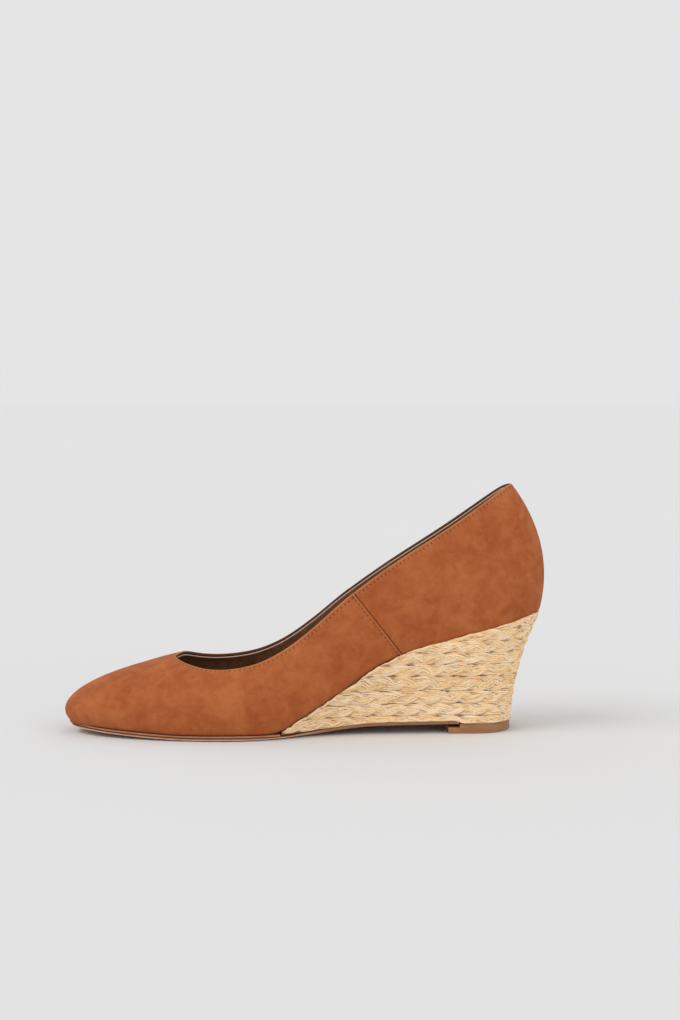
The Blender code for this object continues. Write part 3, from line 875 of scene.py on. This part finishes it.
def plait_fibres(rng, s, plait, phase, place, limit):
    """Fibres of one plait. place(s, across, height) gives points, limit(s, across) the cut."""
    paths = []
    turn = 2 * np.pi * s / STRAND_PERIOD + phase + wobble(rng, s, *TURN_WOBBLE)
    reach = plait * (1 - STRAND_SHARE) / 2
    for strand in range(STRANDS):
        angle = turn + 2 * np.pi * strand / STRANDS
        middle = reach * strand_swing(angle) + wobble(rng, s, *MIDDLE_WOBBLE)
        level = STRAW_LIFT + OVER_UNDER * np.cos(2 * (angle - STRAND_TOP))
        width = plait * STRAND_SHARE * (1 + wobble(rng, s, *WIDTH_WOBBLE))
        line = (middle, np.gradient(middle, s), width, level)
        strand_tone = rng.normal(0, STRAND_TONES)
        bed_size = width.mean() / BED_FIBRES / BED_SHARE
        for share in (np.arange(BED_FIBRES) + 0.5) / BED_FIBRES * 2 - 1:
            along, across, height = strand_line(s, plait, line, share)
            height -= BED_DEPTH
            shown = limit(along, across + bed_size)
            if shown.sum() < 4:
                continue
            part = slice(np.argmax(shown), len(shown) - np.argmax(shown[::-1]))
            centre, normal = place(along[part], across[part], height[part])
            # Depth below the straw's lift, which the straw material darkens as painted shade
            low = (height[part] - STRAW_LIFT) * MILLIMETRES
            paths.append(fibre_path(rng, centre, normal, strand_tone, s[part], low, bed_size))
        for fibre in range(FIBRES):
            share = (fibre + 0.5) / FIBRES * 2 - 1 + rng.normal(0, FIBRE_DRIFT)
            share = np.clip(share + wobble(rng, s, *OFFSET_WOBBLE), -FIBRE_REACH, FIBRE_REACH)
            along, across, height = strand_line(s, plait, line, share)
            height += wobble(rng, s, *HEIGHT_WOBBLE)
            centre, normal = place(along, across, height)
            # Depth below the straw's lift, which the straw material darkens as painted shade
            low = (height - STRAW_LIFT) * MILLIMETRES
            for part in fibre_parts(rng, s, limit(along, across)):
                lifted = centre[part] + rng.normal(0, FIBRE_LIFT) * normal[part]
                tone = rng.normal(0, FIBRE_TONES) + strand_tone
                paths.append(fibre_path(rng, lifted, normal[part], tone, s[part], low[part]))
    return paths


def course_of(height):
    """Arc length and row position along the wedge's side at a height, round the back."""
    position = np.linspace(WEDGE_ROW + 0.05, KNOTS - WEDGE_ROW - 0.05, 1400)
    z = np.clip(height(position), wedge_foot(position), wedge_crown(position))
    return position, arc_lengths(side_points(position, z))


def crown_notches(position):
    """Small gaps under the upper's edge, where the rows end in front of the side seam."""
    side = one_side(position)
    waves = np.sin(side * CROWN_WAVES[0]) + np.sin(side * CROWN_WAVES[1] + 1)
    depth = CROWN_GAP + CROWN_NOTCH * np.clip(waves / 2, 0, 1)
    return depth * smooth_step((SEAM_ROW + 0.3 - side) / 0.6)


def build_plaits(material):
    rng = np.random.default_rng(PLAIT_SEED)
    for number, (below, above) in enumerate(zip(PLAIT_LINES, PLAIT_LINES[1:])):
        level = (below + above) / 2
        position, arc = course_of(lambda p: np.full_like(p, level))
        arc = arc - np.interp(KNOTS / 2, position, arc)
        phase = number * PHASE_STEP + rng.normal(0, PHASE_SPREAD)
        shown = wedge_crown(position) > below - 0.0005
        first, last = arc[shown][0], arc[shown][-1]
        s = np.arange(first, last, FIBRE_STEP)

        def place(along, across, height):
            row = np.interp(along, arc, position)
            z = level + across
            foot = wedge_foot(row) + PLAIT_FOOT_GAP
            crown = wedge_crown(row) + CROWN_TUCK - crown_notches(row)
            z = soft_limits(z, np.minimum(foot, crown - 0.0002), crown, EDGE_BEND)
            normal = side_normals(row, z)
            return side_points(row, z) + height[:, None] * normal, normal

        def limit(along, across):
            row = np.interp(along, arc, position)
            return level + across < wedge_crown(row) + CROWN_HIDE

        paths = plait_fibres(rng, s, above - below + PLAIT_OVERLAP, phase, place, limit)
        points, faces, attributes = tubes(paths)
        new_piece("straw_plait_%d" % (number + 1), points, faces, material,
                  ("wedge",) if number == 0 else (), attributes)


def build_strays(material):
    """Loose fibre ends that lie across the plaits."""
    rng = np.random.default_rng(STRAY_SEED)
    position, arc = course_of(lambda p: np.full_like(p, PLAIT_LINES[3]))
    paths = []
    for _ in range(STRAYS):
        level = rng.uniform(PLAIT_LINES[0], PLAIT_LINES[-1])
        start = rng.uniform(arc[0], arc[-1])
        length = rng.uniform(*STRAY_LENGTHS)
        slope = np.tan(np.radians(rng.uniform(*STRAY_ANGLES) * rng.choice([-1, 1])))
        way = np.linspace(0, 1, 9)
        row = np.interp(start + length * way, arc, position)
        z = level + slope * length * way + rng.uniform(-STRAY_BEND, STRAY_BEND) * way ** 2
        foot, crown = wedge_foot(row) + STRAY_MARGIN, wedge_crown(row) - STRAY_MARGIN
        if (z < foot).any() or (z > crown).any():
            continue
        normal = side_normals(row, z)
        height = STRAW_LIFT + STRAY_HEIGHT + STRAY_HUMP * np.sin(np.pi * way)
        centre = side_points(row, z) + height[:, None] * normal
        paths.append(fibre_path(rng, centre, normal, rng.normal(0.4, 1), length * way,
                                np.full(9, 0.5)))
    points, faces, attributes = tubes(paths)
    new_piece("straw_strays", points, faces, material, (), attributes)


def build_core(material):
    """Core coloured dark as painted shade, showing only in the gaps between the plaits."""
    rows = np.linspace(WEDGE_ROW + 0.02, LAST_ROW, 100)
    shares = np.linspace(0, 1, 14)
    sides = []
    for position in (rows, KNOTS - rows):
        place = np.repeat(position[:, None], len(shares), axis=1)
        foot = wedge_foot(place) + CORE_FOOT_GAP
        crown = wedge_crown(place) - CORE_CROWN_GAP
        z = foot + (crown - foot) * shares
        side = side_points(place, z) - CORE_INSET * side_normals(place, z)
        sides.append(solid_points(side[..., :2], z))
    ring = np.concatenate([sides[0], sides[1][:, ::-1]], axis=1)
    return new_piece("wedge_core", ring, ring_faces(*ring.shape[:2]), material)


# Stitches

def capsules(name, centres, directions, lengths, radius, material, normals):
    """Short round threads lying on a surface, joined in one mesh."""
    sides, caps = 6, 3
    profile = []
    for turn in np.linspace(-90, 0, caps):
        profile.append((-0.5, np.sin(np.radians(turn)), np.cos(np.radians(turn))))
    for turn in np.linspace(0, 90, caps):
        profile.append((0.5, np.sin(np.radians(turn)), np.cos(np.radians(turn))))
    points, faces = [], []
    base = 0
    for centre, direction, length, normal in zip(centres, directions, lengths, normals):
        side = unit(np.cross(direction, normal))
        up = unit(np.cross(side, direction))
        straight = length - 2 * radius
        for end, along, size in profile:
            size = max(size, 0.02)
            spot = centre + direction * (end * straight + along * radius)
            bend = up * (-STITCH_SINK * (2 * end) ** 2)
            for k in range(sides):
                angle = 2 * np.pi * k / sides
                round_it = side * np.cos(angle) + up * np.sin(angle)
                points.append(spot + bend + round_it * radius * size)
        faces += [[base + k for k in face] for face in ring_faces(len(profile), sides)]
        base += len(profile) * sides
    return new_piece(name, np.array(points), faces, material)


def on_wall(position, drop):
    """Points and normals of the outer face a distance below the topline."""
    below = np.array([-drop - 0.0005, -drop, 0.0])
    points, _, _ = wall_grid(position, (np.array([0.002]), 8, below))
    normal = grid_normals(points)
    return points[:, -2], normal[:, -2]


def build_topline_stitches(material):
    fine = np.linspace(0, KNOTS, 1200, endpoint=False)
    spots, normals = on_wall(fine, STITCH_DROP)
    place = loop_length(fine)
    whole = loop_length(np.array([KNOTS]))[0]
    count = int(round(whole / STITCH_PITCH))
    wanted = (np.arange(count) + 0.5) * whole / count
    centres = sampled(wanted, place, spots)
    up = unit(sampled(wanted, place, normals))
    direction = unit(np.roll(centres, -1, axis=0) - np.roll(centres, 1, axis=0))
    lengths = np.full(count, STITCH_LENGTH)
    capsules("topline_stitches", centres - THREAD_SINK * up, direction, lengths, THREAD, material,
             up)


def build_seam_stitches(material):
    for name, seam, ahead in (("inner", SEAM_ROW, -1), ("outer", KNOTS - SEAM_ROW, 1)):
        position = seam + ahead * SEAM_STITCH_BACK / spacing(FEATHER, SEAM_ROW)
        fine = np.linspace(0, 1, 400)
        line = wall_points(np.array([position - 0.02, position, position + 0.02]), fine)
        middle = line[1]
        arc = arc_lengths(middle)
        wanted = np.arange(SEAM_STITCH_ENDS[0], arc[-1] - SEAM_STITCH_ENDS[1], STITCH_PITCH)
        normal = unit(np.cross(line[2] - line[0], np.gradient(middle, axis=0)))
        centres = sampled(wanted, arc, middle)
        up = unit(sampled(wanted, arc, normal))
        direction = unit(np.gradient(centres, axis=0))
        centres += (lap_lift(np.array([position]))[0] - SEAM_THREAD_SINK) * up
        capsules("seam_stitches_" + name, centres, direction, np.full(len(wanted), STITCH_LENGTH),
                 THREAD, material, up)


# Materials

class Nodes:
    """A material's node tree with short calls for the nodes that the finishes use."""

    def __init__(self, name):
        self.material = bpy.data.materials.new(name)
        self.material.use_nodes = True
        self.tree = self.material.node_tree
        self.shader = self.tree.nodes["Principled BSDF"]
        place = self.add("ShaderNodeTexCoord").outputs["Object"]
        self.place = self.vector("SCALE", place, MILLIMETRES)

    def add(self, kind, **settings):
        node = self.tree.nodes.new(kind)
        for key, value in settings.items():
            setattr(node, key, value)
        return node

    def put(self, socket, value):
        """Links an output, or sets a number or colour."""
        if isinstance(value, bpy.types.NodeSocket):
            self.tree.links.new(value, socket)
        elif isinstance(value, tuple) and len(value) == 3 and socket.type == "RGBA":
            socket.default_value = (*value, 1.0)
        else:
            socket.default_value = value

    def vector(self, operation, first, second):
        node = self.add("ShaderNodeVectorMath", operation=operation)
        self.put(node.inputs[0], first)
        self.put(node.inputs["Scale" if operation == "SCALE" else 1], second)
        return node.outputs[0]

    def math(self, operation, first, second=0.0, third=0.0, clamp=False):
        node = self.add("ShaderNodeMath", operation=operation, use_clamp=clamp)
        for socket, value in zip(node.inputs, (first, second, third)):
            self.put(socket, value)
        return node.outputs[0]

    def attribute(self, name):
        return self.add("ShaderNodeAttribute", attribute_name=name).outputs["Fac"]

    def millimetres(self, name):
        """A length that the mesh carries."""
        return self.math("MULTIPLY", self.attribute(name), MILLIMETRES)

    def noise(self, scale, detail=3.0, roughness=0.5, place=None, distortion=0.0):
        node = self.add("ShaderNodeTexNoise")
        self.put(node.inputs["Vector"], self.place if place is None else place)
        self.put(node.inputs["Scale"], scale)
        self.put(node.inputs["Detail"], detail)
        self.put(node.inputs["Roughness"], roughness)
        self.put(node.inputs["Distortion"], distortion)
        return node.outputs["Fac"]

    def spread(self, value, low, high, start=0.0, end=1.0):
        """A value stretched from one range to another, held at the ends."""
        node = self.add("ShaderNodeMapRange")
        for socket, number in zip(node.inputs, (value, low, high, start, end)):
            self.put(socket, number)
        return node.outputs[0]

    def mix(self, share, first, second):
        node = self.add("ShaderNodeMix", data_type="RGBA")
        self.put(node.inputs["Factor"], share)
        self.put(node.inputs[6], first)
        self.put(node.inputs[7], second)
        return node.outputs[2]

    def bump(self, height, distance, strength=1.0, after=None):
        node = self.add("ShaderNodeBump")
        self.put(node.inputs["Height"], height)
        self.put(node.inputs["Distance"], distance)
        self.put(node.inputs["Strength"], strength)
        if after is not None:
            self.put(node.inputs["Normal"], after)
        return node.outputs[0]

    def finish(self, colour, roughness, normal=None, **constants):
        self.put(self.shader.inputs["Base Color"], colour)
        self.put(self.shader.inputs["Roughness"], roughness)
        if normal is not None:
            self.put(self.shader.inputs["Normal"], normal)
        for key, value in constants.items():
            self.put(self.shader.inputs[key.replace("_", " ")], value)
        return self.material


def near(nodes, value, centre, width):
    """One at a value, falling softly to nothing a width away."""
    off = nodes.math("ABSOLUTE", nodes.math("SUBTRACT", value, centre))
    return nodes.spread(off, 0.0, width, 1.0, 0.0)


def pricks(nodes, along, across, line, long, wide):
    """Marks where the stitches of a line go in, one a stitch."""
    turn = nodes.math("FRACT", nodes.math("DIVIDE", along, STITCH_PITCH * MILLIMETRES))
    return nodes.math("MULTIPLY", near(nodes, turn, 0.0, long),
                      near(nodes, across, line * MILLIMETRES, wide))


def nubuck():
    """Tan nubuck, mottled at several scales, short nap, needle holes, painted highlights and shade.
    """
    nodes = Nodes("tan nubuck")
    broad = nodes.spread(nodes.noise(0.045, 2.0, 0.5, distortion=0.8), 0.38, 0.62)
    cloudy = nodes.spread(nodes.noise(0.12, 3.0, 0.55, distortion=0.7), 0.38, 0.62)
    small = nodes.spread(nodes.noise(0.36, 3.0, 0.6, distortion=0.3), 0.34, 0.66)
    fine = nodes.spread(nodes.noise(1.3, 3.0, 0.6), 0.3, 0.7)
    nap = nodes.noise(7.0, 2.0, 0.6)
    share = nodes.math("MULTIPLY_ADD", cloudy, 0.42, nodes.math("MULTIPLY", broad, 0.24))
    share = nodes.math("MULTIPLY_ADD", small, 0.20, share)
    share = nodes.math("MULTIPLY_ADD", fine, 0.14, share, clamp=True)
    colour = nodes.mix(share, (0.322, 0.075, 0.021), (0.468, 0.145, 0.047))
    drop = nodes.millimetres("drop")
    rise = nodes.millimetres("rise")
    behind = nodes.millimetres("behind")
    top_holes = pricks(nodes, nodes.millimetres("run"), drop, STITCH_DROP, 0.42, 0.8)
    seam_holes = pricks(nodes, rise, behind, -SEAM_STITCH_BACK, 0.36, 0.6)
    # Painted shade: the needle holes of both stitch rows are coloured near black, besides their
    # dent
    hole = nodes.math("MAXIMUM", top_holes, seam_holes)
    # Painted highlight: lighter within 1.5 mm of the topline's fold
    rim = nodes.spread(drop, 0.2, 1.5, 0.5, 0.0)
    # Painted shade: darker in the lowest 2.2 mm of the wall and on the corner turning under to the
    # sole
    low = nodes.spread(rise, 0.4, 2.2, 0.4, 0.0)
    # Painted highlight: lighter on the raised edge of the vamp where it laps over the quarter
    lap_edge_highlight = nodes.math("MULTIPLY", near(nodes, behind, -0.45, 0.5), 0.35)
    # Painted shade: darker in the groove just behind the lap's edge
    seam = nodes.math("MULTIPLY", near(nodes, behind, 0.25, 0.5), 0.8)
    inside = nodes.spread(nodes.attribute("inside"), 0.4, 0.6)
    marks = ((rim, (0.52, 0.23, 0.11)), (low, (0.25, 0.062, 0.02)), (lap_edge_highlight, (0.56, 0.21, 0.09)),
             (seam, (0.15, 0.038, 0.014)), (hole, (0.08, 0.022, 0.009)),
             (inside, (0.11, 0.045, 0.024)))
    for mark, tint in marks:
        colour = nodes.mix(mark, colour, tint)
    relief = nodes.bump(nap, 0.00012, 0.6)
    relief = nodes.bump(fine, 0.0003, 0.25, relief)
    relief = nodes.bump(nodes.math("MULTIPLY", hole, -1.0), 0.0004, 1.0, relief)
    return nodes.finish(colour, 0.92, relief, Sheen_Weight=0.10, Sheen_Roughness=0.45,
                        Sheen_Tint=(0.95, 0.6, 0.4), Specular_IOR_Level=0.12)


def inner_leather(name, dark, light, scale, grain, roughness, shine, rim=None):
    """Brown leather inside the shoe, with a pale cut edge at the top if one is given."""
    nodes = Nodes(name)
    cloudy = nodes.spread(nodes.noise(scale, 4.0, 0.6), 0.3, 0.7)
    colour = nodes.mix(cloudy, dark, light)
    if rim is not None:
        edge = nodes.spread(nodes.millimetres("drop"), 0.28, 0.42, 1.0, 0.0)
        colour = nodes.mix(edge, colour, rim)
    relief = nodes.bump(nodes.noise(grain, 4.0, 0.6), 0.0002, 0.3)
    return nodes.finish(colour, roughness, relief, Specular_IOR_Level=shine)


def straw():
    """Natural straw: each fibre has its own tone, streaked along its length, with painted shade
    where fibres lie low.
    """
    nodes = Nodes("natural straw")
    tone = nodes.attribute("tone")
    course = nodes.add("ShaderNodeCombineXYZ")
    nodes.put(course.inputs[0], nodes.math("MULTIPLY", nodes.millimetres("run"), 0.22))
    nodes.put(course.inputs[1], nodes.math("MULTIPLY", tone, 37.0))
    streak = nodes.noise(1.0, 3.0, 0.6, course.outputs[0])
    patch = nodes.spread(nodes.noise(0.12, 3.0, 0.5), 0.3, 0.7)
    share = nodes.math("ADD", nodes.math("MULTIPLY", tone, 0.13), streak)
    share = nodes.math("MULTIPLY_ADD", patch, 0.14, share, clamp=True)
    colour = nodes.mix(nodes.spread(share, 0.12, 0.5), (0.82, 0.485, 0.207), (0.945, 0.662, 0.37))
    colour = nodes.mix(nodes.spread(share, 0.52, 0.95), colour, (0.965, 0.82, 0.63))
    # Painted shade: fibres lying low in the plait, where strands dip under, are darkened to deep
    # brown
    low = nodes.spread(nodes.attribute("low"), -0.50, -0.34, 0.9, 0.0)
    colour = nodes.mix(low, colour, (0.30, 0.135, 0.050))
    relief = nodes.bump(nodes.noise(3.0, 2.0, 0.6), 0.0002, 0.25)
    return nodes.finish(colour, 0.6, relief, Specular_IOR_Level=0.15)


# Painted shade: the core is coloured dark so that the gaps between the plaits read as shade
def painted_shade_core():
    nodes = Nodes("painted shade core")
    patch = nodes.noise(0.6, 3.0, 0.6)
    colour = nodes.mix(patch, (0.14, 0.062, 0.025), (0.30, 0.155, 0.065))
    return nodes.finish(colour, 0.8)


def edge_leather(name, dark, light, roughness, pale=None, scale=0.5):
    """Cut and dyed sole leather, streaked along the edge, with a pale lower rim if one is given."""
    nodes = Nodes(name)
    flat = nodes.vector("MULTIPLY", nodes.place, (0.25, 0.25, 1.6))
    patch = nodes.spread(nodes.noise(scale, 4.0, 0.6, flat), 0.3, 0.7)
    colour = nodes.mix(patch, dark, light)
    if pale is not None:
        # The forepart's lower rim is paler, by more in some patches than in others
        rim_patches = nodes.spread(nodes.noise(0.25, 3.0, 0.6), 0.25, 0.6, 0.5, 1.0)
        rim = nodes.spread(nodes.attribute("level"), 0.36, 0.62, 1.0, 0.0)
        rim = nodes.math("MULTIPLY", rim, nodes.attribute("fore"))
        colour = nodes.mix(nodes.math("MULTIPLY", rim, rim_patches), colour, pale)
    relief = nodes.bump(nodes.noise(2.5, 4.0, 0.6, flat), 0.00015, 0.3)
    return nodes.finish(colour, roughness, relief, Specular_IOR_Level=0.35)


def thread():
    nodes = Nodes("tan thread")
    twist = nodes.noise(5.0, 1.0, 0.5)
    colour = nodes.mix(twist, (0.30, 0.09, 0.03), (0.56, 0.24, 0.10))
    return nodes.finish(colour, 0.6, nodes.bump(twist, 0.0001, 0.4))


def paper():
    """Pale seamless studio paper."""
    nodes = Nodes("pale studio paper")
    cloud = nodes.noise(0.002, 2.0, 0.5)
    colour = nodes.mix(cloud, (0.725, 0.725, 0.725), (0.735, 0.735, 0.735))
    return nodes.finish(colour, 0.9, None, Specular_IOR_Level=0.05)


# Studio

CAMERA_PLACE = (-0.02212, -0.94634, 0.165)
CAMERA_AIM = (0.04180, 0.99744, -0.05791)
LENS = 66.7
SENSOR_WIDTH = 36.0
FLOOR_REACH = 60.0
SKY = 0.785

# Lights. Columns: name, place, power, angle of the soft box
LIGHTS = (
    ("top light", (-0.85, -0.4, 1.0), 0.92, 40.0),
    ("front light", (0.75, -1.1, 0.42), 0.58, 50.0),
)


def build_floor():
    """A wide sheet of paper, as bright as the air behind it."""
    body = bmesh.new()
    bmesh.ops.create_grid(body, x_segments=24, y_segments=24, size=FLOOR_REACH)
    mesh = bpy.data.meshes.new("studio_floor")
    body.to_mesh(mesh)
    body.free()
    mesh.materials.append(paper())
    placed("studio_floor", mesh)


def pointed(thing, place, way):
    """Puts a lamp or the camera in its place, looking along a direction."""
    thing.location = place
    thing.rotation_mode = "QUATERNION"
    thing.rotation_quaternion = way.to_track_quat("-Z", "Y")


def soft_sun(name, place, power, angle):
    """Even light from one direction, as from a wide soft box far away."""
    data = bpy.data.lights.new(name, "SUN")
    data.energy = power
    data.angle = np.radians(angle)
    pointed(placed(name, data), place, -Vector(place))


def build_light():
    world = bpy.data.worlds.new("studio")
    world.use_nodes = True
    background = world.node_tree.nodes["Background"]
    background.inputs["Color"].default_value = (1.0, 1.0, 1.0, 1.0)
    background.inputs["Strength"].default_value = SKY
    bpy.context.scene.world = world
    for light in LIGHTS:
        soft_sun(*light)
    bpy.context.scene.view_settings.view_transform = "Standard"


def build_camera():
    data = bpy.data.cameras.new("camera")
    data.lens = LENS
    data.sensor_width = SENSOR_WIDTH
    camera = placed("camera", data)
    pointed(camera, Vector(CAMERA_PLACE) - Vector(MIDDLE), Vector(CAMERA_AIM))
    bpy.context.scene.camera = camera


build_camera()
build_light()
build_floor()
build_upper(nubuck())
build_lining(inner_leather("brown lining leather", (0.19, 0.082, 0.034), (0.31, 0.155, 0.076),
                           0.2, 2.2, 0.55, 0.35, (0.62, 0.42, 0.33)))
build_sock(inner_leather("brown sock leather", (0.10, 0.046, 0.024), (0.16, 0.078, 0.042),
                         0.15, 2.0, 0.5, 0.4))
build_sole({
    "rand": edge_leather("tan rand", (0.32, 0.125, 0.055), (0.47, 0.22, 0.11), 0.5),
    "sole": edge_leather("brown sole edge", (0.28, 0.118, 0.051), (0.40, 0.185, 0.090), 0.5,
                         (0.80, 0.58, 0.44)),
    "top piece": edge_leather("brown top piece", (0.29, 0.130, 0.052), (0.385, 0.185, 0.078), 0.5)})
build_core(painted_shade_core())
straw_material = straw()
build_plaits(straw_material)
build_strays(straw_material)
thread_material = thread()
build_topline_stitches(thread_material)
build_seam_stitches(thread_material)
